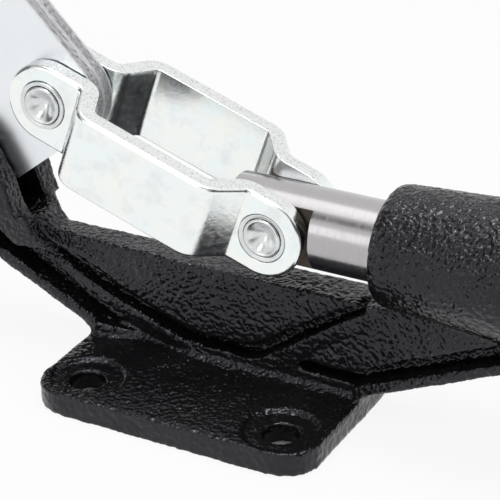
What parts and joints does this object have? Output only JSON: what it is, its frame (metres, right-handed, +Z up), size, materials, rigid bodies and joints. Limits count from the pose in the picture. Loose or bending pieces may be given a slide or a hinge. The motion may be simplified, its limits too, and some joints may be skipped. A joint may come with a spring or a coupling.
{
  "type": "toggle clamp",
  "caption": "Push-pull toggle clamp: flanged cast base with a plunger barrel, bent links, laminated hand lever and a rubber-tipped spindle that presses in a straight line.",
  "frame": {"origin": "centre of the flange's bottom face", "axes": "+X along the plunger towards its tip, +Z up from the mounting surface, +Y to the far side"},
  "size_m": [0.2512, 0.06, 0.1853],
  "materials": {
    "cast": "gloss black paint, wrinkled",
    "steel": "ground",
    "zinc": "bright zinc plated",
    "grip": "soft moulded plastic",
    "rubber": "matt"
  },
  "bodies": {
    "base": {"base_casting": "cast", "base_rivet": "steel"},
    "handle": {"handle_plate_near": "zinc", "handle_plate_far": "zinc", "base_bush": "steel", "handle_bush": "steel", "handle_rivet_lower": "steel", "handle_rivet_upper": "steel", "grip": "grip"},
    "links": {"link_near": "zinc", "link_far": "zinc", "link_bush_near": "steel", "link_bush_far": "steel", "plunger_bush_near": "steel", "plunger_bush_far": "steel", "link_rivet": "steel", "plunger_rivet": "steel"},
    "plunger": {"plunger": "steel", "jam_nut": "zinc"},
    "spindle": {"spindle_bolt": "zinc", "rubber_tip": "rubber"}
  },
  "joints": [
    {"name": "handle_swing", "type": "hinge", "parent": "base", "child": "handle", "pos_m": [-0.0605, 0, 0.038], "axis": [0, -1, 0], "range_deg": [-40, 42]},
    {"name": "link_swing", "type": "hinge", "parent": "handle", "child": "links", "pos_m": [-0.0385, 0, 0.0554], "axis": [0, -1, 0], "range_deg": [-60, 57]},
    {"name": "plunger_slide", "type": "slide", "parent": "base", "child": "plunger", "axis": [1, 0, 0], "range_m": [-0.0176, 0.0168]},
    {"name": "spindle_feed", "type": "slide", "parent": "plunger", "child": "spindle", "axis": [1, 0, 0], "range_m": [-0.006, 0.01]}
  ],
  "couplings": [
    {"joint": "link_swing", "follows": "handle_swing", "ratio": -1.41},
    {"joint": "plunger_slide", "follows": "handle_swing", "m_per_rad": -0.0236}
  ]
}
